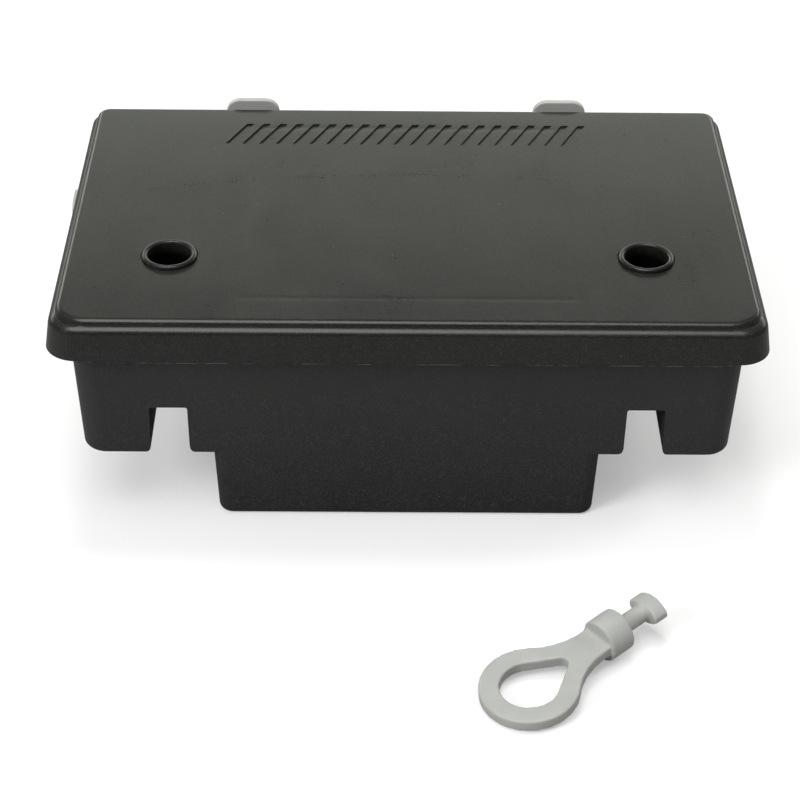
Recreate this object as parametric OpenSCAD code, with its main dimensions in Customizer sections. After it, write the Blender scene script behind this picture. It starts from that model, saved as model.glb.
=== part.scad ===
// Rodent bait station with a hinged, key-locked lid.
// Millimetres. Origin on the floor under the middle of the tub, +X right, +Y back, +Z up.
// The tub is stepped: a deep trough in the middle, a raised shoulder at each end, and under
// each shoulder a channel that runs from front to back and rises inside as a hollow ridge.

/* [Lid] */
// Width of the lid at the top of its skirt
lid_w = 230; // [222:1:240]
// Depth of the lid at the top of its skirt
lid_d = 147.4; // [142:0.2:154]
// Height of the lid's panel above the floor
lid_top = 80.7; // [79:0.1:84]
// Height of the skirt's lower edge above the floor
skirt_z = 67.5; // [66:0.1:69]
// How far the skirt flares out at its lower edge
skirt_flare = 1.2; // [0.4:0.1:1.6]
// Radius of the lid's front corners, seen from above
lid_corner_r = 9.5; // [7:0.5:12]
// Radius of the lid's back corners, seen from above
lid_back_r = 6; // [5:0.5:9]
// Height of the raised panel above the ledge round it
panel_step = 2; // [1.2:0.1:2.2]

/* [Tub] */
// Width of the tub at the skirt's lower edge
tub_w = 217.8; // [212:0.2:218]
// Depth of the tub at the skirt's lower edge
tub_d = 138; // [132:0.2:139]
// Wall thickness of the tub and the lid
wall = 2; // [1.8:0.1:2.2]
// Draft angle of the tub's walls
draft_deg = 2.5; // [1:0.1:3]
// Width of the trough at the floor
trough_w = 126; // [120:1:128]
// Height of the shoulders' underside above the floor
shoulder_z = 25.6; // [25:0.1:27]

/* [Channels and ridges] */
// Distance of each channel's centre from the middle of the tub
channel_x = 78; // [77:0.1:78.6]
// Width of a channel at its open side
channel_w = 12.9; // [10:0.1:13]
// Height of a channel's top above the floor
channel_top = 44.9; // [43:0.1:45]

/* [Entries] */
// Width of the entry hole in each end wall
entry_w = 40; // [34:1:42]
// Distance of the entries behind the middle of the tub
entry_y = 25; // [15:1:30]

/* [Keyholes and locks] */
// Distance of each keyhole from the middle of the lid, left to right
keyhole_x = 78.6; // [78:0.1:80]
// Distance of the keyholes in front of the middle of the lid
keyhole_y = -31.9; // [-36:0.1:-26]
// Radius of a keyhole
keyhole_r = 7.2; // [7.2:0.1:7.6]
// Outer radius of the collar round a keyhole
collar_r = 9.1; // [8.9:0.1:10]
// Height of the collar above the panel
collar_rise = 1.2; // [1:0.1:3]

/* [Hinge] */
// Distance of each hinge from the middle of the lid
hinge_x = 56.5; // [50:0.5:62]
// Width of a hinge strap
strap_w = 19.4; // [18:0.2:22]
// Height of the straps' tops above the panel
strap_rise = 1.9; // [0.5:0.1:4]
// Diameter of the hinge pins
pin_d = 3; // [3:0.1:3.2]

/* [Bait tray] */
// Height of the bait tray
tray_h = 23.4; // [20:0.1:24]
// Diameter of the bait rods
rod_d = 4; // [3:0.1:4.2]
// Distance of each bait rod from the middle of the tray
rod_y = 30; // [22:1:34]

/* [Key] */
// Length of the key
key_l = 68.3; // [66:0.1:72]
// Outer radius of the key's loop
loop_r = 15.6; // [14:0.1:16]
// Thickness of the key's loop and neck
key_t = 3.9; // [3:0.1:4.5]
// Place of the loop's end on the floor, left to right
key_x = 25; // [15:0.1:30]
// Place of the loop's end on the floor, front to back
key_y = -166.4; // [-175:0.1:-160]
// Direction in which the key points
key_turn = 39; // [0:0.5:60]

/* [Hidden] */

$fn = 48;
black = [0.14, 0.14, 0.14];
grey = [0.76, 0.77, 0.75];
steel = [0.70, 0.71, 0.73];
slab = 0.01;               // thickness of the thin plates that a hull joins
cut = 1;                   // how far a cutting solid reaches past the face it cuts
sides = [-1, 1];           // left, right

// Lid
ledge_z = lid_top - panel_step;
lid_fillet = 3.1;          // rounding between the ledge and the skirt
panel_inset = 2.1;         // width of the ledge in front of the raised panel and beside it
panel_back_inset = 0.9;    // width of the ledge behind the panel
panel_corner_r = 11;       // radius of the panel's front corners
panel_back_r = 4.5;        // radius of the panel's back corners
panel_fillet = 2;          // rounding of the panel's upper edge
ceiling_z = lid_top - wall;
rim_ceiling_z = ledge_z - wall;
rim_shelf = 5;             // width of the lower ceiling that sits on the tub's rim
recess_r = 4;              // corner radius of the higher ceiling inside it
rib_h = 2.5;
rib_t = 1.2;
rib_w = 110;               // width and depth of the rectangle of ribs under the panel
rib_d = 116;
bar_count = 21;            // slanted bars of the caution hatching
bar_pitch = 6;
bar_w = 2.6;
bar_h = 15;
bar_depth = 0.5;
bar_y = 53;                // middle of the hatching
bar_slant = 7;             // how far a bar leans over its height

// Groove at the foot of each keyhole collar
groove_w = 0.5;
groove_depth = 0.6;

// Tub
rim_z = rim_ceiling_z - 0.3;
tub_corner_r = 8;
trough_corner_r = 5;
edge_r = 1.8;              // rounding of the tub's lower edges
ridge_top = channel_top + wall;
channel_draft = 0.2;       // how much a channel narrows on each side towards its top
mouth_r = 3.2;             // rounding of a channel's lower edges
entry_sill = shoulder_z + wall + 2;
entry_side_h = 13;         // height of an entry's straight sides, below its round top
anchor_x = 45;             // anchor holes in the trough's floor
anchor_y = 45;
anchor_r = 2.5;

// Locks, from the top of the barrel down
seat_z = 59.1;             // top of the seat at the bottom of a keyhole tube
seat_t = 2;
seat_r = 5;
washer_t = 0.9;
barrel_z = seat_z + washer_t;
barrel_h = 7;
barrel_r = keyhole_r - 0.3;
neck_r = seat_r - 0.05;     // neck of the barrel, turning in the seat
cam_top = 52.4;
cam_t = 3;
cam_r = 5.5;
cam_l = 14;
cam_w = 7;
cam_boss = 5.6;            // square end of the barrel that turns the cam
boss_gap = 0.05;           // clearance between the square end and the cam
slot_w = 8.1;              // slot for the key's T head
slot_l = 12.6;
slot_depth = 5;
screw_r = 1.5;
cam_screw_l = 5;           // length of a cam screw above its head
cam_screw_gap = 0.02;
cam_head_r = 4;
cam_head_h = 1.6;

// Strikers
striker_w = 10;
striker_t = 1.6;
hook_gap = 1;              // gap between a locked cam and the hook above it
hook_z = cam_top + hook_gap;
hook_front = keyhole_y + 7;
riser_y = keyhole_y + 16.7;
foot_back = 4;
rivet_r = 1.6;
rivet_head_r = 2.7;
rivet_head_h = 1.2;
rivet_ys = [-6.6, 0.4];

// Hinge
strap_t = 2.4;
strap_y = lid_d / 2 + skirt_flare + 0.05;
strap_top = lid_top + strap_rise;
strap_corner_r = 5;
knuckle_r = 3.6;
axis_y = strap_y + knuckle_r;
axis_z = 60.5;
pin_r = pin_d / 2;
pin_gap = 0.06;            // running clearance of the knuckle on its pin
ear_pin_gap = 0.03;        // clearance of the pin in the ears
pin_head_t = 1.2;
pin_head_over = 1;         // how far a pin's head stands out round the pin
pin_end_gap = 0.2;
ear_t = 3;
ear_gap = 0.5;
strap_screw_x = 5;
strap_screw_z = 72.6;
strap_screw_l = 5;         // length of a strap screw behind the strap
strap_head_r = 2.8;
strap_head_h = 1.4;
screw_gap = 0.1;           // clearance round screws and rivets

// Side clip
clip_y = 25;
clip_w = 15;
clip_top = 70.8;
clip_bottom = 63;
clip_t = 1;                // thickness of the outer leg
clip_inner_t = 1.4;        // thickness of the inner leg
clip_inner_top = 70.4;
clip_gap = 0.15;           // clearance between the clip and the skirt
clip_corner_r = 4.5;

// Tray and rods
tray_z = wall + 0.1;
tray_gap = 0.5;            // gap all round between the tray and the trough
tray_t = 1.5;
tray_corner_r = trough_corner_r - wall - tray_gap;
tray_w = drafted(trough_w, skirt_z, 0) - 2 * (wall + tray_gap);   // at the skirt's lower edge
tray_d = tub_d - 2 * (wall + tray_gap);
grip_r = 11;               // finger notches in the tray's front and back
grip_rise = 2;             // height of their centre above the tray's rim
post_x = 51;
post_t = 4;
post_w = 11;
rod_z = tray_z + tray_h - 2.4;
rod_l = 113;
rod_slot_r = rod_d / 2 + 0.3;
rod_collar_t = 2;
rod_collar_r = rod_d / 2 + 2;
rod_collar_gap = 0.02;     // clearance of a collar on its rod
rod_collar_x = post_x - post_t / 2 - 0.5 - rod_collar_t / 2;

// Key, along its own X from the loop's end to the T head
loop_hole_r = 9.2;
hole_tip_x = 28.8;         // middle of the round tip of the teardrop hole
hole_tip_r = 2.2;
neck_w = 11.4;
flare_r = 24;              // concave flare between the neck and the loop
key_collar_r = 7;
key_collar_x = 44.4;
key_collar_l = 8.8;
key_shaft_r = 3;
head_w = 12.2;
head_t = 7.5;
head_l = 5.2;
head_crown_r = 8;          // the T head's rounded top and bottom
key_tilt = atan((key_collar_r - key_t / 2) / key_collar_x);

// Width of the tub's drafted walls at a height, from the width at the skirt's lower edge
function drafted(size, z, ref) = size - 2 * tan(draft_deg) * (ref - z);

// Points of a circular arc
function arc(cx, cy, r, a0, a1, steps) =
  [for (i = [0:steps]) let (a = a0 + (a1 - a0) * i / steps) [cx + r * cos(a), cy + r * sin(a)]];

// Outline of a rectangle centred on the origin, with front corners of radius r
function round_outline(w, d, r, back_r, steps = 10) = concat(
  arc(w / 2 - back_r, d / 2 - back_r, back_r, 0, 90, steps),
  arc(back_r - w / 2, d / 2 - back_r, back_r, 90, 180, steps),
  arc(r - w / 2, r - d / 2, r, 180, 270, steps),
  arc(w / 2 - r, r - d / 2, r, 270, 360, steps));

module thin_plate(w, d, r, back_r, z) {
  translate([0, 0, z]) linear_extrude(slab) polygon(round_outline(w, d, r, back_r));
}

// Drafted block with a round lower edge; w and d are its size at height ref
module drafted_block(w, d, r, z0, z1, edge, ref) {
  hull() {
    thin_plate(drafted(w, z1, ref), drafted(d, z1, ref), r, r, z1 - slab);
    for (a = [0:15:90]) {
      z = z0 + edge * (1 - cos(a));
      inset = 2 * edge * (1 - sin(a));
      corner = max(r - inset / 2, 1);
      thin_plate(drafted(w, z, ref) - inset, drafted(d, z, ref) - inset, corner, corner, z);
    }
  }
}

// Block whose upper edge is round; it may flare towards its lower edge
module domed_block(w, d, r, back_r, z0, z1, edge, flare) {
  hull() {
    thin_plate(w + 2 * flare, d + 2 * flare, r + flare, back_r + flare, z0);
    for (a = [0:15:90]) {
      z = z1 - edge * (1 - cos(a));
      inset = 2 * edge * (1 - sin(a));
      thin_plate(w - inset, d - inset, max(r - inset / 2, 1), max(back_r - inset / 2, 1), z - slab);
    }
  }
}

module along_x(l) {
  translate([-l / 2, 0, 0]) rotate([90, 0, 90]) linear_extrude(l) children();
}

module along_y(l) {
  translate([0, l / 2, 0]) rotate([90, 0, 0]) linear_extrude(l) children();
}

// Cross-section of a channel, grown by a wall thickness for the ridge round it
module channel_section(grow, foot_z) {
  half = channel_w / 2 + grow;
  top_half = half - channel_draft;
  top = channel_top + grow;
  r = 0.8 + grow / 2;
  polygon(concat(
    [[half, foot_z]],
    arc(top_half - r, top - r, r, 0, 90, 6),
    arc(r - top_half, top - r, r, 90, 180, 6),
    [[-half, foot_z]]));
}

// Round lower edges of a channel's mouth
module mouth_section() {
  half = channel_w / 2 + mouth_r;
  polygon(concat(
    [[-half, shoulder_z - cut], [half, shoulder_z - cut]],
    arc(half, shoulder_z + mouth_r, mouth_r, 270, 180, 6),
    arc(-half, shoulder_z + mouth_r, mouth_r, 0, -90, 6)));
}

// Entry hole through one end wall, with a round top
module entry_hole(side) {
  round_r = entry_w / 2;
  translate([side * tub_w / 2, entry_y, 0]) along_x(8 * wall) {
    translate([-round_r, entry_sill]) square([entry_w, entry_side_h]);
    translate([0, entry_sill + entry_side_h]) circle(round_r);
  }
}

// Ear of the hinge, an arm from the tub's back wall round the hinge axis
module hinge_ear(x) {
  wall_y = tub_d / 2 - wall;
  translate([x, 0, 0]) along_x(ear_t) {
    translate([axis_y, axis_z]) circle(knuckle_r);
    polygon([[wall_y, axis_z - 14], [axis_y, axis_z - knuckle_r], [axis_y, axis_z + knuckle_r],
      [wall_y, axis_z + knuckle_r]]);
  }
}

module base_tub() {
  color(black) difference() {
    union() {
      difference() {
        union() {
          drafted_block(tub_w, tub_d, tub_corner_r, shoulder_z, rim_z, edge_r, skirt_z);
          drafted_block(drafted(trough_w, skirt_z, 0), tub_d, trough_corner_r, 0, shoulder_z + 4,
            edge_r, skirt_z);
        }
        drafted_block(tub_w - 2 * wall, tub_d - 2 * wall, tub_corner_r - wall,
          shoulder_z + wall, rim_z + cut, edge_r, skirt_z);
        drafted_block(drafted(trough_w, skirt_z, 0) - 2 * wall, tub_d - 2 * wall,
          trough_corner_r - wall, wall, shoulder_z + 4 + cut, edge_r, skirt_z);
      }
      for (side = sides)
        translate([side * channel_x, 0, 0])
          along_y(drafted(tub_d, channel_top, skirt_z) - wall)
            channel_section(wall, shoulder_z + wall / 2);
      for (side = sides)
        for (flank = sides)
          hinge_ear(side * hinge_x + flank * (strap_w / 2 + ear_gap + ear_t / 2));
    }
    for (side = sides)
      translate([side * channel_x, 0, 0]) along_y(tub_d + 20) {
        channel_section(0, shoulder_z - cut);
        mouth_section();
      }
    for (side = sides) entry_hole(side);
    for (x = [-anchor_x, anchor_x])
      for (y = [-anchor_y, anchor_y])
        translate([x, y, -cut]) cylinder(r = anchor_r, h = wall + 2 * cut);
    for (side = sides)
      translate([side * hinge_x - strap_w, axis_y, axis_z])
        rotate([0, 90, 0]) cylinder(r = pin_r + ear_pin_gap, h = 2 * strap_w);
    for (side = sides)
      for (y = rivet_ys)
        translate([side * channel_x, y, channel_top - cut])
          cylinder(r = rivet_r + screw_gap, h = wall + 2 * cut);
  }
}

// One slanted bar of the caution hatching
module hatch_bar(x) {
  translate([x, bar_y, lid_top - bar_depth]) linear_extrude(bar_depth + cut)
    polygon([[-bar_slant / 2 - bar_w / 2, -bar_h / 2], [-bar_slant / 2 + bar_w / 2, -bar_h / 2],
      [bar_slant / 2 + bar_w / 2, bar_h / 2], [bar_slant / 2 - bar_w / 2, bar_h / 2]]);
}

// Rectangle of thin ribs under the panel
module lid_ribs() {
  translate([0, 0, ceiling_z - rib_h]) linear_extrude(rib_h + 0.5) difference() {
    square([rib_w, rib_d], center = true);
    square([rib_w - 2 * rib_t, rib_d - 2 * rib_t], center = true);
  }
}

// Tube below a keyhole, with a collar whose top is fully round
module keyhole_tube(side) {
  tube_z = seat_z - seat_t;
  round_r = (collar_r - keyhole_r) / 2;
  straight = lid_top + collar_rise - round_r - tube_z;
  translate([side * keyhole_x, keyhole_y, tube_z]) {
    cylinder(r = collar_r, h = straight);
    translate([0, 0, straight]) rotate_extrude() translate([collar_r - round_r, 0]) circle(round_r);
  }
}

module keyhole_bore(side) {
  translate([side * keyhole_x, keyhole_y, 0]) {
    translate([0, 0, seat_z]) cylinder(r = keyhole_r, h = lid_top - seat_z + cut);
    translate([0, 0, seat_z - seat_t - cut]) cylinder(r = seat_r, h = seat_t + 2 * cut);
  }
}

// Narrow groove in the panel, at the foot of a keyhole's collar
module collar_groove(side) {
  translate([side * keyhole_x, keyhole_y, lid_top - groove_depth])
    linear_extrude(groove_depth + cut) difference() {
      circle(collar_r + groove_w);
      circle(collar_r);
    }
}

module strap_screw_place(side) {
  for (x = sides)
    translate([side * hinge_x + x * strap_screw_x, strap_y, strap_screw_z]) rotate([-90, 0, 0])
      children();
}

module lid() {
  color(black) difference() {
    union() {
      difference() {
        domed_block(lid_w, lid_d, lid_corner_r, lid_back_r, skirt_z, ledge_z, lid_fillet,
          skirt_flare);
        domed_block(lid_w - 2 * wall, lid_d - 2 * wall, lid_corner_r - wall, lid_back_r - wall,
          skirt_z - slab, rim_ceiling_z, 1, skirt_flare);
      }
      translate([0, (panel_inset - panel_back_inset) / 2, 0])
        domed_block(lid_w - 2 * panel_inset, lid_d - panel_inset - panel_back_inset,
          panel_corner_r, panel_back_r, rim_ceiling_z, lid_top, panel_fillet, 0);
      for (side = sides) keyhole_tube(side);
    }
    difference() {
      translate([0, 0, rim_ceiling_z - cut]) linear_extrude(ceiling_z - rim_ceiling_z + cut)
        polygon(round_outline(lid_w - 2 * wall - 2 * rim_shelf, lid_d - 2 * wall - 2 * rim_shelf,
          recess_r, recess_r));
      for (side = sides) keyhole_tube(side);
      lid_ribs();
    }
    for (side = sides) keyhole_bore(side);
    for (side = sides) collar_groove(side);
    for (side = sides)
      strap_screw_place(side) translate([0, 0, -2 * strap_screw_l])
        cylinder(r = screw_r + screw_gap, h = 2 * strap_screw_l + cut);
    for (i = [0:bar_count - 1]) hatch_bar((i - (bar_count - 1) / 2) * bar_pitch);
  }
}

// Upright plate on the lid's back skirt, with a knuckle round the hinge axis at its foot
module hinge_strap(side) {
  half = strap_w / 2;
  r = strap_corner_r;
  color(grey) difference() {
    translate([side * hinge_x, 0, 0]) union() {
      translate([0, strap_y + strap_t, 0]) rotate([90, 0, 0]) linear_extrude(strap_t)
        polygon(concat([[-half, axis_z], [half, axis_z]],
          arc(half - r, strap_top - r, r, 0, 90, 8),
          arc(r - half, strap_top - r, r, 90, 180, 8)));
      translate([0, axis_y, axis_z]) rotate([0, 90, 0])
        cylinder(r = knuckle_r, h = strap_w, center = true);
    }
    translate([side * hinge_x - strap_w, axis_y, axis_z]) rotate([0, 90, 0])
      cylinder(r = pin_r + pin_gap, h = 2 * strap_w);
    strap_screw_place(side) translate([0, 0, -cut])
      cylinder(r = screw_r + screw_gap, h = strap_t + 2 * cut);
  }
}

module hinge_pin(side) {
  half = strap_w / 2 + ear_gap + ear_t + pin_end_gap;
  color(steel) translate([side * hinge_x, axis_y, axis_z]) rotate([0, 90, 0]) {
    cylinder(r = pin_r, h = 2 * half, center = true);
    for (end = sides)
      translate([0, 0, end * (half + pin_head_t / 2)])
        cylinder(r = pin_r + pin_head_over, h = pin_head_t, center = true);
  }
}

module strap_screws() {
  crown_r = strap_head_r * 0.6;
  color(steel) for (side = sides)
    strap_screw_place(side) {
      translate([0, 0, strap_t]) rotate_extrude()
        polygon([[0, 0], [strap_head_r, 0], [strap_head_r - 0.2, strap_head_h * 0.6],
          [crown_r, strap_head_h], [0, strap_head_h]]);
      translate([0, 0, -strap_screw_l]) cylinder(r = screw_r, h = strap_t + strap_screw_l);
    }
}

// Grey clip round the lower edge of the lid's left skirt
module side_clip() {
  skirt_x = lid_w / 2 + skirt_flare;
  outer_x = -skirt_x - clip_gap;
  inner_x = -skirt_x + wall + 3 * clip_gap;
  half = clip_w / 2;
  r = clip_corner_r;
  color(grey) translate([0, clip_y, 0]) {
    translate([outer_x - clip_t, 0, 0]) rotate([90, 0, 90]) linear_extrude(clip_t)
      polygon(concat([[-half, clip_bottom], [half, clip_bottom]],
        arc(half - r, clip_top - r, r, 0, 90, 8),
        arc(r - half, clip_top - r, r, 90, 180, 8)));
    translate([outer_x - clip_t / 2, -half, clip_bottom])
      cube([inner_x + clip_inner_t - outer_x + clip_t / 2, clip_w, skirt_z - clip_bottom - clip_gap]);
    translate([inner_x, -half, clip_bottom]) cube([clip_inner_t, clip_w, clip_inner_top - clip_bottom]);
  }
}

module lock_place(side) {
  translate([side * keyhole_x, keyhole_y, 0]) children();
}

// Plug that the key turns: slotted head, neck through the seat, square end for the cam
module lock_barrel(side) {
  color(black) lock_place(side) difference() {
    union() {
      translate([0, 0, barrel_z]) cylinder(r = barrel_r, h = barrel_h);
      translate([0, 0, cam_top]) cylinder(r = neck_r, h = barrel_z - cam_top);
      translate([-cam_boss / 2, -cam_boss / 2, cam_top - cam_t]) cube([cam_boss, cam_boss, cam_t]);
    }
    translate([0, 0, barrel_z + barrel_h - slot_depth]) linear_extrude(slot_depth + cut)
      intersection() {
        square([slot_w, slot_l + 2], center = true);
        circle(slot_l / 2);
      }
    translate([0, 0, cam_top - cam_t - cut])
      cylinder(r = screw_r + cam_screw_gap, h = cam_screw_l + 2 * cut);
  }
}

// Cam below the barrel; it points inwards when unlocked
module lock_cam(side) {
  hole = cam_boss + 2 * boss_gap;
  color(steel) lock_place(side) translate([0, 0, cam_top - cam_t]) linear_extrude(cam_t)
    difference() {
      union() {
        circle(cam_r);
        mirror([side > 0 ? 1 : 0, 0]) {
          translate([0, -cam_w / 2]) square([cam_l - cam_w / 2, cam_w]);
          translate([cam_l - cam_w / 2, 0]) circle(cam_w / 2);
        }
      }
      square(hole, center = true);
    }
}

module cam_screw(side) {
  screw_z = cam_top - cam_t;
  color(steel) lock_place(side) {
    translate([0, 0, screw_z]) cylinder(r = screw_r, h = cam_screw_l);
    translate([0, 0, screw_z - cam_head_h]) cylinder(r = cam_head_r, h = cam_head_h);
  }
}

module lock_washers() {
  color([0.1, 0.1, 0.1]) for (side = sides)
    lock_place(side) translate([0, 0, seat_z]) difference() {
      cylinder(r = barrel_r, h = washer_t);
      translate([0, 0, -cut]) cylinder(r = seat_r + 0.3, h = washer_t + 2 * cut);
    }
}

// Bent plate on a ridge; its hook reaches over the locked cam
module striker(side) {
  color(steel) translate([side * channel_x, 0, 0]) difference() {
    along_x(striker_w) polygon([
      [foot_back, ridge_top], [foot_back, ridge_top + striker_t],
      [riser_y + striker_t, ridge_top + striker_t], [riser_y + striker_t, hook_z + striker_t],
      [hook_front, hook_z + striker_t], [hook_front, hook_z],
      [riser_y, hook_z], [riser_y, ridge_top]]);
    for (y = rivet_ys)
      translate([0, y, ridge_top - cut]) cylinder(r = rivet_r + screw_gap, h = striker_t + 2 * cut);
  }
}

module striker_rivets() {
  top = ridge_top + striker_t;
  color(steel) for (side = sides)
    for (y = rivet_ys)
      translate([side * channel_x, y, 0]) {
        translate([0, 0, channel_top]) cylinder(r = rivet_r, h = top - channel_top);
        translate([0, 0, top]) cylinder(r = rivet_head_r, h = rivet_head_h);
        translate([0, 0, channel_top - rivet_head_h]) cylinder(r = rivet_head_r, h = rivet_head_h);
      }
}

// Post that cradles one end of a bait rod
module rod_post(x, y) {
  translate([x, y, tray_z]) difference() {
    translate([-post_t / 2, -post_w / 2, 0]) cube([post_t, post_w, tray_h]);
    translate([0, 0, rod_z - tray_z]) rotate([0, 90, 0])
      cylinder(r = rod_slot_r, h = post_t + 2 * cut, center = true);
    translate([-post_t, -rod_slot_r, rod_z - tray_z]) cube([2 * post_t, 2 * rod_slot_r, tray_h]);
  }
}

module bait_tray() {
  color(black) {
    difference() {
      drafted_block(tray_w, tray_d, tray_corner_r, tray_z, tray_z + tray_h, edge_r, skirt_z);
      drafted_block(tray_w - 2 * tray_t, tray_d - 2 * tray_t, tray_corner_r - tray_t / 2,
        tray_z + tray_t, tray_z + tray_h + cut, edge_r, skirt_z);
      translate([0, 0, tray_z + tray_h + grip_rise]) rotate([90, 0, 0])
        cylinder(r = grip_r, h = tray_d + 2 * cut, center = true);
    }
    for (x = [-post_x, post_x])
      for (y = [-rod_y, rod_y])
        rod_post(x, y);
  }
}

module bait_rod(side) {
  color(steel) translate([0, side * rod_y, rod_z]) rotate([0, 90, 0])
    cylinder(r = rod_d / 2, h = rod_l, center = true);
}

// Collars that keep a rod centred between its posts
module rod_collars(side) {
  color(grey) for (end = sides)
    translate([end * rod_collar_x, side * rod_y, rod_z]) rotate([0, 90, 0])
      difference() {
        cylinder(r = rod_collar_r, h = rod_collar_t, center = true);
        cylinder(r = rod_d / 2 + rod_collar_gap, h = rod_collar_t + 2 * cut, center = true);
      }
}

// Outline of the key's loop, flared neck and teardrop hole
module key_outline() {
  flare_y = neck_w / 2 + flare_r;
  reach = loop_r + flare_r;
  flare_x = loop_r + sqrt(reach * reach - flare_y * flare_y);
  flare_start = loop_r * flare_y / reach;
  difference() {
    union() {
      translate([loop_r, 0]) circle(loop_r, $fn = 96);
      difference() {
        translate([loop_r, -flare_start]) square([flare_x - loop_r, 2 * flare_start]);
        for (side = sides) translate([flare_x, side * flare_y]) circle(flare_r, $fn = 96);
      }
      translate([flare_x - slab, -neck_w / 2]) square([key_collar_x - flare_x + cut, neck_w]);
    }
    hull() {
      translate([loop_r, 0]) circle(loop_hole_r, $fn = 96);
      translate([hole_tip_x, 0]) circle(hole_tip_r, $fn = 32);
    }
  }
}

// T head: a bar across the shaft with a crowned top and bottom
module key_head() {
  intersection() {
    translate([key_l - head_l, -head_w / 2, -head_t / 2]) cube([head_l, head_w, head_t]);
    translate([key_l - head_l, 0, head_crown_r - head_t / 2]) rotate([0, 90, 0])
      cylinder(r = head_crown_r, h = head_l, $fn = 96);
    translate([key_l - head_l, 0, head_t / 2 - head_crown_r]) rotate([0, 90, 0])
      cylinder(r = head_crown_r, h = head_l, $fn = 96);
  }
}

module key() {
  color(grey) translate([key_x, key_y, key_t / 2 * cos(key_tilt)])
    rotate([0, 0, key_turn]) rotate([0, -key_tilt, 0]) {
      translate([0, 0, -key_t / 2]) linear_extrude(key_t) key_outline();
      translate([key_collar_x, 0, 0]) rotate([0, 90, 0]) cylinder(r = key_collar_r, h = key_collar_l);
      translate([key_collar_x, 0, 0]) rotate([0, 90, 0])
        cylinder(r = key_shaft_r, h = key_l - key_collar_x - head_l / 2);
      key_head();
    }
}

base_tub();
lid();
hinge_strap(-1);  // hinge_strap_left
hinge_strap(1);  // hinge_strap_right
hinge_pin(-1);  // hinge_pin_left
hinge_pin(1);  // hinge_pin_right
strap_screws();
side_clip();
lock_barrel(-1);  // lock_barrel_left
lock_barrel(1);  // lock_barrel_right
lock_cam(-1);  // lock_cam_left
lock_cam(1);  // lock_cam_right
cam_screw(-1);  // cam_screw_left
cam_screw(1);  // cam_screw_right
lock_washers();
striker(-1);  // striker_left
striker(1);  // striker_right
striker_rivets();
bait_tray();
bait_rod(-1);  // bait_rod_front
bait_rod(1);  // bait_rod_rear
rod_collars(-1);  // rod_collars_front
rod_collars(1);  // rod_collars_rear
key();
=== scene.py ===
"""Looks of the bait station: materials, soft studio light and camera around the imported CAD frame."""
import math

import bpy
from mathutils import Matrix, Vector


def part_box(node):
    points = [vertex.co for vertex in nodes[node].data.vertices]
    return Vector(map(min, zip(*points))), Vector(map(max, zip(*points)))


MM = 0.001

# Marks on the plastic, in millimetres
RIB_HALF_W = 54.4        # ribs under the lid's panel, which leave sink marks on top of it
RIB_HALF_D = 57.4
SINK_HALF = 2.2          # half the width of a sink mark
FLOW_R = 350.0           # arched flow front across the panel
FLOW_TOP_Y = 23.5
FLOW_HALF = 2.6          # half the width of the flow front
RUB_DROP = 4.6           # how far below the skirt the line is that it rubbed on the tub
RUB_HALF = 0.3
TUBE_GAP = 0.3           # clearance of a lock barrel in its keyhole tube
TUBE_SHADE_DEPTHS = (1.5, 5.0)   # painted shade: the tubes' walls turn dark between these depths below the lid's top

# Texture of the black plastic: sizes in millimetres
PATCH_MM = 2.4           # slight unevenness
STREAK_MM = 5.5          # width of the streaks along the flow
SHEEN_MM = 34.0          # cloudy sheen
DUST_MM = 6.5            # distance between dust specks
DUST_AREA_MM = 11.0      # dusty areas and clean ones
GLINT = 4.2              # how much lighter the grain's tips are: partly the grain's own tone, partly painted glint
DUST_COLOR = (0.34, 0.34, 0.32)
# painted light: the colour that the tub's walls turn to towards the top
TOP_PAINTED_LIGHT_COLOR = (0.030, 0.030, 0.029)
RUB_COLOR = (0.13, 0.13, 0.127)
# painted shade on the inner walls of the keyhole tubes
TUBE_SHADE_COLOR = (0.002, 0.002, 0.002)

# Shading
SHARP_DEG = 35           # edges over this angle stay sharp
BEVEL_DEG = 38           # edges over this angle are rounded
WELD_MM = 0.002

# Floor
FLOOR_REACH = 6.0
FLOOR_GAP = 0.05 * MM    # keeps the floor off the tub's flat bottom
FLOOR_GLOW = 0.36
FLOOR_SEEN = 0.54        # how white the floor is to the camera, to diffuse rays and to reflections
FLOOR_DIFFUSE = 0.50
FLOOR_MIRRORED = 0.22

# World: a bright band low behind the object and a faint ceiling, by the direction looked in
BAND_RADIANCE = 6.15
BAND_RISE = (0.20, 0.25)
BAND_FALL = (0.28, 0.42)
BAND_BEHIND = (0.3, 0.8)
CEILING_RADIANCE = 0.28
CEILING_RISE = (0.55, 0.90)
AIR_COLOR = (0.97, 1.0, 0.91, 1)

# Soft boxes: name, place, size, radiance, seen in reflections
SOFT_BOXES = (
    ("front_box", (-0.5, -1.3, 3.8), 2.8, 4.2, True),
    ("top_box", (-0.3, 0.7, 3.4), 0.7, 20.0, False),
    ("left_box", (-2.1, -1.6, 1.5), 1.0, 18.0, False),
    ("right_box", (2.2, 0.6, 2.0), 0.8, 12.0, False),
)

# Camera
CAMERA_PLACE = Vector((-8.5, -662.3, 464.5)) * MM
CAMERA_PITCH = math.radians(34.99)
CAMERA_YAW = math.radians(0.583)
CAMERA_ROLL = math.radians(0.683)
CAMERA_LENS = 100.53
SENSOR_WIDTH = 36.0

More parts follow.
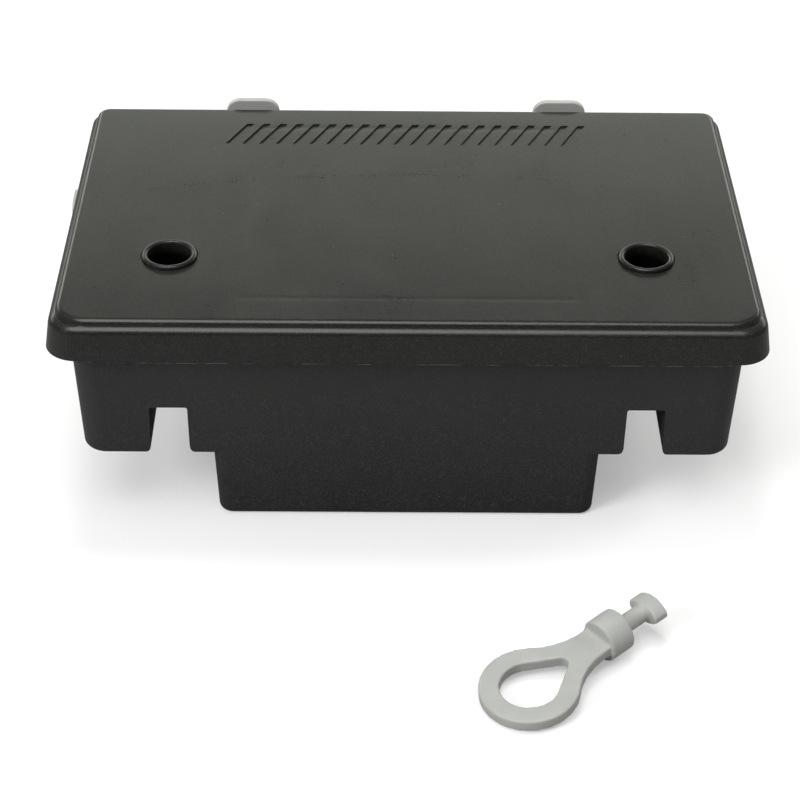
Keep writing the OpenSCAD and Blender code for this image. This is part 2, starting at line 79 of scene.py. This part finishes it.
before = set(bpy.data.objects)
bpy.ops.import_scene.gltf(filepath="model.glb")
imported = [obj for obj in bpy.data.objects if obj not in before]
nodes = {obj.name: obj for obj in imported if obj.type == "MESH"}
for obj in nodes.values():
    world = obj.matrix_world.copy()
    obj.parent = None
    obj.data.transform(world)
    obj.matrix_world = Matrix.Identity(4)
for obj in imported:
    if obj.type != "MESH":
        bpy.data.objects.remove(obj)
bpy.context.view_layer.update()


def skirt_edge():
    """Height of the skirt's lower edge: the lowest point of the lid's right end, in millimetres."""
    points = [vertex.co for vertex in nodes["lid"].data.vertices]
    right_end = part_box("lid")[1][0]
    return min(point.z for point in points if point.x > right_end - MM) / MM


RUB_Z = skirt_edge() - RUB_DROP


# ---------------------------------------------------------------- node helpers
class Graph:
    """A material's node tree, with short calls that add and link nodes."""

    def __init__(self, name):
        self.material = bpy.data.materials.new(name)
        self.material.use_nodes = True
        self.tree = self.material.node_tree
        self.tree.nodes.clear()
        self.shader = self.tree.nodes.new("ShaderNodeBsdfPrincipled")
        output = self.tree.nodes.new("ShaderNodeOutputMaterial")
        self.tree.links.new(self.shader.outputs["BSDF"], output.inputs["Surface"])
        coords = self.tree.nodes.new("ShaderNodeTexCoord")
        self.place = coords.outputs["Object"]

    def link(self, source, target):
        self.tree.links.new(source, target)

    def mapped(self, scale=(1, 1, 1), turn=(0, 0, 0)):
        """Object coordinates in millimetres, then scaled and turned."""
        node = self.tree.nodes.new("ShaderNodeMapping")
        node.inputs["Scale"].default_value = [s / MM for s in scale]
        node.inputs["Rotation"].default_value = turn
        self.link(self.place, node.inputs["Vector"])
        return node.outputs["Vector"]

    def noise(self, vector, size_mm, detail=3.0, roughness=0.5, distortion=0.0):
        """Noise whose blobs are about size_mm across."""
        node = self.tree.nodes.new("ShaderNodeTexNoise")
        node.inputs["Scale"].default_value = 1.0 / size_mm
        node.inputs["Detail"].default_value = detail
        node.inputs["Roughness"].default_value = roughness
        node.inputs["Distortion"].default_value = distortion
        self.link(vector, node.inputs["Vector"])
        return node.outputs["Fac"]

    def axes(self, vector):
        """The vector's X, Y and Z."""
        node = self.tree.nodes.new("ShaderNodeSeparateXYZ")
        self.link(vector, node.inputs["Vector"])
        return node.outputs["X"], node.outputs["Y"], node.outputs["Z"]

    def cells(self, vector, size_mm):
        """Distance to the nearest of scattered points that are about size_mm apart."""
        node = self.tree.nodes.new("ShaderNodeTexVoronoi")
        node.inputs["Scale"].default_value = 1.0 / size_mm
        self.link(vector, node.inputs["Vector"])
        return node.outputs["Distance"]

    def ramp(self, value, low, high, out_low=0.0, out_high=1.0):
        """Maps low..high to out_low..out_high, held flat outside."""
        node = self.tree.nodes.new("ShaderNodeMapRange")
        node.clamp = True
        node.inputs["From Min"].default_value = low
        node.inputs["From Max"].default_value = high
        node.inputs["To Min"].default_value = out_low
        node.inputs["To Max"].default_value = out_high
        self.link(value, node.inputs["Value"])
        return node.outputs["Result"]

    def math(self, operation, a, b=None):
        """One step of arithmetic; a and b are numbers or sockets."""
        node = self.tree.nodes.new("ShaderNodeMath")
        node.operation = operation
        for socket, value in zip(node.inputs, (a, b)):
            if value is None:
                continue
            if isinstance(value, (int, float)):
                socket.default_value = value
            else:
                self.link(value, socket)
        return node.outputs["Value"]

    def length(self, a, b):
        """Length of the flat vector a, b."""
        return self.math("SQRT", self.math("ADD", self.math("MULTIPLY", a, a), self.math("MULTIPLY", b, b)))

    def mix(self, factor, a, b):
        """Mix of two colours; a and b are colours or colour sockets."""
        node = self.tree.nodes.new("ShaderNodeMix")
        node.data_type = "RGBA"
        self.link(factor, node.inputs["Factor"])
        for socket, value in ((node.inputs[6], a), (node.inputs[7], b)):
            if isinstance(value, (tuple, list)):
                socket.default_value = (*value, 1.0)
            else:
                self.link(value, socket)
        return node.outputs[2]

    def bump(self, height, distance_mm, strength=1.0, normal=None):
        node = self.tree.nodes.new("ShaderNodeBump")
        node.inputs["Strength"].default_value = strength
        node.inputs["Distance"].default_value = distance_mm * MM
        self.link(height, node.inputs["Height"])
        if normal is not None:
            self.link(normal, node.inputs["Normal"])
        return node.outputs["Normal"]

    def finish(self, color=None, roughness=None, normal=None):
        for name, value in (("Base Color", color), ("Roughness", roughness), ("Normal", normal)):
            if value is not None:
                self.link(value, self.shader.inputs[name])
        return self.material


# ---------------------------------------------------------------- materials
def black_plastic(name, dark, light, rough, specular, grain_mm=0.45, flow_turn=0.0):
    """Black polypropylene: moulded grain with lighter tips (partly painted glint), cloudy sheen, long flow
    lines and a few dust specks.

    Returns the graph with its colour, roughness and normal, for more marks on top."""
    g = Graph(name)
    plain = g.mapped()
    flow_place = g.mapped(scale=(1.0, 0.16, 1.0), turn=(0, 0, flow_turn))
    grain = g.noise(plain, grain_mm, detail=3.0, roughness=0.6)
    patch = g.noise(plain, PATCH_MM, detail=3.0, roughness=0.65)
    sheen = g.noise(plain, SHEEN_MM, detail=3.0, roughness=0.55, distortion=0.6)
    flow = g.noise(flow_place, STREAK_MM, detail=4.0, roughness=0.6, distortion=0.8)
    tone = g.math("ADD", g.math("MULTIPLY", sheen, 0.55), g.math("MULTIPLY", flow, 0.45))
    body = g.mix(g.ramp(tone, 0.35, 0.65), dark, light)
    # the grain's tips lighter: partly the plastic's own tone, partly painted glint
    grain_and_glint = g.mix(g.ramp(grain, 0.48, 0.78, 0.0, 0.9), body, tuple(c * GLINT for c in light))
    dust = g.math("GREATER_THAN", g.noise(plain, DUST_AREA_MM, detail=1.0), 0.5)
    specks = g.math("MULTIPLY", g.ramp(g.cells(plain, DUST_MM), 0.012, 0.028, 1.0, 0.0), dust)
    g.color = g.mix(specks, grain_and_glint, DUST_COLOR)
    g.rough = g.math("ADD", g.ramp(tone, 0.3, 0.7, rough - 0.015, rough + 0.025),
                     g.ramp(patch, 0.3, 0.7, -0.012, 0.012))
    wavy = g.bump(sheen, 0.06, 0.5)
    lined = g.bump(flow, 0.005, 0.5, wavy)
    dented = g.bump(patch, 0.002, 0.5, lined)
    g.normal = g.bump(grain, 0.007, 0.6, dented)
    g.shader.inputs["Specular IOR Level"].default_value = specular
    return g


def ring_line(g, distance, half_width):
    """1 on the line where distance is 0, falling softly to 0 at half_width, both in millimetres."""
    node = g.tree.nodes.new("ShaderNodeMapRange")
    node.interpolation_type = "SMOOTHSTEP"
    for name, value in (("From Max", half_width), ("To Min", 1.0), ("To Max", 0.0)):
        node.inputs[name].default_value = value
    g.link(g.math("ABSOLUTE", distance), node.inputs["Value"])
    return node.outputs["Result"]


def keyhole_inside(g, x, y, z):
    """1 on the inner walls of the two keyhole tubes, 0 on the rest of the lid."""
    low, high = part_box("lock_barrel_right")
    middle_x, middle_y = ((low[i] + high[i]) / 2 / MM for i in (0, 1))
    radius = (high[0] - low[0]) / 2 / MM
    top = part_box("lid")[1][2] / MM
    across = g.math("SUBTRACT", g.math("ABSOLUTE", x), middle_x)
    along = g.math("SUBTRACT", y, middle_y)
    inside = g.ramp(g.length(across, along), radius + TUBE_GAP, radius + 2 * TUBE_GAP, 1.0, 0.0)
    return g.math("MULTIPLY", inside, g.ramp(z, top - TUBE_SHADE_DEPTHS[1], top - TUBE_SHADE_DEPTHS[0], 1.0, 0.0))


def lid_plastic():
    """Lid finish: sink marks over the ribs, one long arched flow front and keyhole tubes darkened with
    painted shade.
    """
    dark = (0.0071, 0.0072, 0.0064)
    light = (0.0110, 0.0111, 0.0100)
    g = black_plastic("lid_black", dark, light, 0.29, 0.5)
    x, y, z = g.axes(g.mapped())
    across = g.math("SUBTRACT", g.math("ABSOLUTE", x), RIB_HALF_W)
    along = g.math("SUBTRACT", g.math("ABSOLUTE", y), RIB_HALF_D)
    sink = ring_line(g, g.math("MAXIMUM", across, along), SINK_HALF)
    wobble = g.ramp(g.noise(g.mapped(), 40.0), 0.3, 0.7, -1.0, 1.0)
    low = g.math("SUBTRACT", y, FLOW_TOP_Y - FLOW_R)
    reach = g.length(x, low)
    front = ring_line(g, g.math("ADD", g.math("SUBTRACT", reach, FLOW_R), wobble), FLOW_HALF)
    fade = g.ramp(g.noise(g.mapped(), 16.0), 0.35, 0.6, 0.15, 1.0)
    front = g.math("MULTIPLY", front, fade)
    marks = g.math("ADD", g.math("MULTIPLY", sink, -0.9), g.math("MULTIPLY", front, 0.16))
    g.normal = g.bump(marks, 0.04, 0.8, g.normal)
    rough = g.math("ADD", g.rough, g.math("MULTIPLY", front, -0.02))
    # the keyhole tubes' inner walls get painted shade in their colour and a lower roughness
    inside = keyhole_inside(g, x, y, z)
    rough = g.math("ADD", rough, g.math("MULTIPLY", inside, -0.18))
    return g.finish(g.mix(inside, g.color, TUBE_SHADE_COLOR), rough, g.normal)


def tub_plastic():
    """Tub finish: matt, finely grained, lighter towards the top as painted light, with a line that the
    lid's skirt rubbed.
    """
    dark = (0.0088, 0.0088, 0.0089)
    light = (0.0135, 0.0135, 0.0132)
    g = black_plastic("tub_black", dark, light, 0.43, 0.45, grain_mm=0.6, flow_turn=1.57)
    x, y, z = g.axes(g.mapped())
    # painted light: the walls get lighter from the bottom up to the rub line
    painted_light_to_top = g.ramp(z, 0.0, RUB_Z, 0.0, 0.62)
    g.color = g.mix(painted_light_to_top, g.color, TOP_PAINTED_LIGHT_COLOR)
    rub = ring_line(g, g.math("SUBTRACT", z, RUB_Z), RUB_HALF)
    dashes = g.noise(g.mapped(scale=(1.0, 1.0, 0.1)), 9.0, detail=5.0, roughness=0.7)
    broken = g.ramp(dashes, 0.46, 0.56)
    color = g.mix(g.math("MULTIPLY", rub, broken), g.color, RUB_COLOR)
    return g.finish(color, g.rough, g.normal)


def plain_black(name, dark, light, rough):
    """Black plastic with no marks on it."""
    g = black_plastic(name, dark, light, rough, 0.5)
    return g.finish(g.color, g.rough, g.normal)


def moulded_grey(name, base):
    """Light-grey polyethylene: soft satin, slightly cloudy."""
    g = Graph(name)
    plain = g.mapped()
    cloud = g.noise(plain, 7.0, detail=3.0)
    grain = g.noise(plain, 0.35, detail=2.0)
    color = g.mix(g.ramp(cloud, 0.3, 0.7), tuple(c * 0.94 for c in base), tuple(c * 1.04 for c in base))
    roughness = g.ramp(cloud, 0.3, 0.7, 0.42, 0.52)
    normal = g.bump(grain, 0.010, 0.5, g.bump(cloud, 0.03, 0.5))
    g.shader.inputs["Subsurface Weight"].default_value = 0.08
    g.shader.inputs["Subsurface Radius"].default_value = (0.004, 0.004, 0.0035)
    g.shader.inputs["Subsurface Scale"].default_value = 1.0
    return g.finish(color, roughness, normal)


def zinc_steel(name):
    """Zinc-plated steel with a drawn grain."""
    g = Graph(name)
    drawn = g.mapped(scale=(0.08, 1.0, 1.0))
    streak = g.noise(drawn, 0.25, detail=3.0)
    cloud = g.noise(g.mapped(), 4.0, detail=2.0)
    color = g.mix(cloud, (0.44, 0.45, 0.47), (0.62, 0.63, 0.64))
    roughness = g.ramp(streak, 0.3, 0.7, 0.26, 0.42)
    normal = g.bump(streak, 0.008, 0.4)
    g.shader.inputs["Metallic"].default_value = 1.0
    return g.finish(color, roughness, normal)


def dull_rubber(name):
    """Black rubber, matt and grainy."""
    g = Graph(name)
    grain = g.noise(g.mapped(), 0.5, detail=3.0)
    color = g.mix(grain, (0.012, 0.012, 0.012), (0.03, 0.03, 0.03))
    return g.finish(color, g.ramp(grain, 0.2, 0.8, 0.7, 0.85), g.bump(grain, 0.02, 0.5))


# ---------------------------------------------------------------- surface finish of CAD nodes
def smooth_by_angle():
    """Geometry node group that shades smooth, with edges over SHARP_DEG kept sharp."""
    tree = bpy.data.node_groups.new("smooth_by_angle", "GeometryNodeTree")
    tree.interface.new_socket("Geometry", in_out="INPUT", socket_type="NodeSocketGeometry")
    tree.interface.new_socket("Geometry", in_out="OUTPUT", socket_type="NodeSocketGeometry")
    source = tree.nodes.new("NodeGroupInput")
    target = tree.nodes.new("NodeGroupOutput")
    angle = tree.nodes.new("GeometryNodeInputMeshEdgeAngle")
    sharp = tree.nodes.new("FunctionNodeCompare")
    sharp.data_type = "FLOAT"
    sharp.operation = "LESS_THAN"
    sharp.inputs["B"].default_value = math.radians(SHARP_DEG)
    faces = tree.nodes.new("GeometryNodeSetShadeSmooth")
    faces.domain = "FACE"
    edges = tree.nodes.new("GeometryNodeSetShadeSmooth")
    edges.domain = "EDGE"
    tree.links.new(source.outputs[0], faces.inputs["Geometry"])
    tree.links.new(faces.outputs["Geometry"], edges.inputs["Geometry"])
    tree.links.new(angle.outputs["Unsigned Angle"], sharp.inputs["A"])
    tree.links.new(sharp.outputs["Result"], edges.inputs["Shade Smooth"])
    tree.links.new(edges.outputs["Geometry"], target.inputs[0])
    return tree


SMOOTH = smooth_by_angle()


def finish_surface(name, material, edge_mm, segments=2):
    """Material, round edges and clean shading on one CAD node."""
    piece = nodes[name]
    piece.data.materials.clear()
    piece.data.materials.append(material)
    weld = piece.modifiers.new("weld", "WELD")
    weld.merge_threshold = WELD_MM * MM
    if edge_mm:
        bevel = piece.modifiers.new("round_edges", "BEVEL")
        bevel.width = edge_mm * MM
        bevel.segments = segments
        bevel.limit_method = "ANGLE"
        bevel.angle_limit = math.radians(BEVEL_DEG)
        bevel.use_clamp_overlap = True
    shade = piece.modifiers.new("smooth", "NODES")
    shade.node_group = SMOOTH
    weighted = piece.modifiers.new("even_normals", "WEIGHTED_NORMAL")
    weighted.keep_sharp = True
    return piece


def soften(piece, voxel_mm, passes):
    """Rounds every edge of a moulded piece: an even fine mesh, then some smoothing passes."""
    even = piece.modifiers.new("even_mesh", "REMESH")
    even.mode = "VOXEL"
    even.voxel_size = voxel_mm * MM
    even.use_smooth_shade = True
    smooth = piece.modifiers.new("soft_edges", "SMOOTH")
    smooth.factor = 0.5
    smooth.iterations = passes


lid_black = lid_plastic()
tub_black = tub_plastic()
tray_black = plain_black("tray_black", (0.014, 0.014, 0.014), (0.02, 0.02, 0.02), 0.5)
# the lock barrels' black is darker than the lid's: partly their own colour, partly painted shade that keeps
# the keyholes black
lock_black = plain_black("lock_black", (0.003, 0.003, 0.003), (0.005, 0.005, 0.005), 0.18)
grey_plastic = moulded_grey("grey_plastic", (0.37, 0.375, 0.357))
zinc = zinc_steel("zinc_steel")
rubber = dull_rubber("rubber")

finish_surface("lid", lid_black, 0.25)
finish_surface("base_tub", tub_black, 0.25)
finish_surface("bait_tray", tray_black, 0.3)
key = finish_surface("key", grey_plastic, 0)
soften(key, 0.45, 7)
for side in ("left", "right"):
    finish_surface(f"hinge_strap_{side}", grey_plastic, 0.9, 4)
    finish_surface(f"hinge_pin_{side}", zinc, 0.2)
    finish_surface(f"lock_barrel_{side}", lock_black, 0.25)
    finish_surface(f"lock_cam_{side}", zinc, 0.2)
    finish_surface(f"cam_screw_{side}", zinc, 0.25)
    finish_surface(f"striker_{side}", zinc, 0.25)
for row in ("front", "rear"):
    finish_surface(f"bait_rod_{row}", zinc, 0.3)
    finish_surface(f"rod_collars_{row}", grey_plastic, 0.25)
finish_surface("side_clip", grey_plastic, 0.4, 3)
finish_surface("strap_screws", zinc, 0.15)
finish_surface("striker_rivets", zinc, 0.3)
finish_surface("lock_washers", rubber, 0.15)


# ---------------------------------------------------------------- floor, light and camera
def floor_sheet():
    """White paper sweep. It looks burnt out to the camera, but lights and mirrors less than that."""
    mesh = bpy.data.meshes.new("floor")
    reach = FLOOR_REACH
    corners = ((-reach, -reach), (reach, -reach), (reach, reach), (-reach, reach))
    mesh.from_pydata([(x, y, -FLOOR_GAP) for x, y in corners], [], [(0, 1, 2, 3)])
    floor = bpy.data.objects.new("floor", mesh)
    bpy.context.scene.collection.objects.link(floor)
    g = Graph("floor_white")
    rays = g.tree.nodes.new("ShaderNodeLightPath").outputs
    seen = rays["Is Camera Ray"]
    unseen = g.mix(rays["Is Glossy Ray"], (FLOOR_DIFFUSE,) * 3, (FLOOR_MIRRORED,) * 3)
    g.finish(g.mix(seen, unseen, (FLOOR_SEEN,) * 3))
    g.shader.inputs["Roughness"].default_value = 0.7
    g.shader.inputs["Emission Color"].default_value = (1, 1, 1, 1)
    g.link(g.math("MULTIPLY", seen, FLOOR_GLOW), g.shader.inputs["Emission Strength"])
    mesh.materials.append(g.material)


def soft_light(name, place, size, radiance, glossy):
    """Square soft box that looks at the object; its radiance doesn't depend on its size."""
    data = bpy.data.lights.new(name, "AREA")
    data.shape = "SQUARE"
    data.size = size
    data.energy = radiance * math.pi * size * size
    light = bpy.data.objects.new(name, data)
    light.location = place
    light.rotation_euler = (-Vector(place)).to_track_quat("-Z", "Y").to_euler()
    light.visible_glossy = glossy
    bpy.context.scene.collection.objects.link(light)


def studio_world():
    """Dark room with a bright band low behind the object and a faint glow on the ceiling."""
    world = bpy.data.worlds.new("studio")
    world.use_nodes = True
    tree = world.node_tree
    background = tree.nodes["Background"]
    direction = tree.nodes.new("ShaderNodeTexCoord")
    parts = tree.nodes.new("ShaderNodeSeparateXYZ")
    tree.links.new(direction.outputs["Generated"], parts.inputs["Vector"])

    def ramp(source, low, high, out_low, out_high):
        node = tree.nodes.new("ShaderNodeMapRange")
        node.interpolation_type = "SMOOTHSTEP"
        limits = {"From Min": low, "From Max": high, "To Min": out_low, "To Max": out_high}
        for name, value in limits.items():
            node.inputs[name].default_value = value
        tree.links.new(source, node.inputs["Value"])
        return node.outputs["Result"]

    def combine(operation, first, second):
        node = tree.nodes.new("ShaderNodeMath")
        node.operation = operation
        tree.links.new(first, node.inputs[0])
        tree.links.new(second, node.inputs[1])
        return node.outputs["Value"]

    rise = ramp(parts.outputs["Z"], *BAND_RISE, 0.0, 1.0)
    fall = ramp(parts.outputs["Z"], *BAND_FALL, 1.0, 0.0)
    behind = ramp(parts.outputs["Y"], *BAND_BEHIND, 0.02, BAND_RADIANCE)
    ceiling = ramp(parts.outputs["Z"], *CEILING_RISE, 0.05, CEILING_RADIANCE)
    band = combine("MULTIPLY", combine("MULTIPLY", rise, fall), behind)
    tree.links.new(combine("ADD", band, ceiling), background.inputs["Strength"])
    background.inputs["Color"].default_value = AIR_COLOR
    bpy.context.scene.world = world


def add_camera():
    """Long lens in front of the station and above it, a little left of its middle."""
    flat = math.cos(CAMERA_PITCH)
    ahead = (math.sin(CAMERA_YAW) * flat, math.cos(CAMERA_YAW) * flat, -math.sin(CAMERA_PITCH))
    forward = Vector(ahead)
    level_right = Vector((math.cos(CAMERA_YAW), -math.sin(CAMERA_YAW), 0))
    level_up = level_right.cross(forward)
    right = math.cos(CAMERA_ROLL) * level_right + math.sin(CAMERA_ROLL) * level_up
    up = math.cos(CAMERA_ROLL) * level_up - math.sin(CAMERA_ROLL) * level_right
    data = bpy.data.cameras.new("camera")
    data.lens = CAMERA_LENS
    data.sensor_width = SENSOR_WIDTH
    camera = bpy.data.objects.new("camera", data)
    turn = Matrix((right, up, -forward)).transposed().to_4x4()
    camera.matrix_world = Matrix.Translation(CAMERA_PLACE) @ turn
    bpy.context.scene.collection.objects.link(camera)
    bpy.context.scene.camera = camera


floor_sheet()
studio_world()
for soft_box in SOFT_BOXES:
    soft_light(*soft_box)
add_camera()
bpy.context.scene.view_settings.view_transform = "Standard"
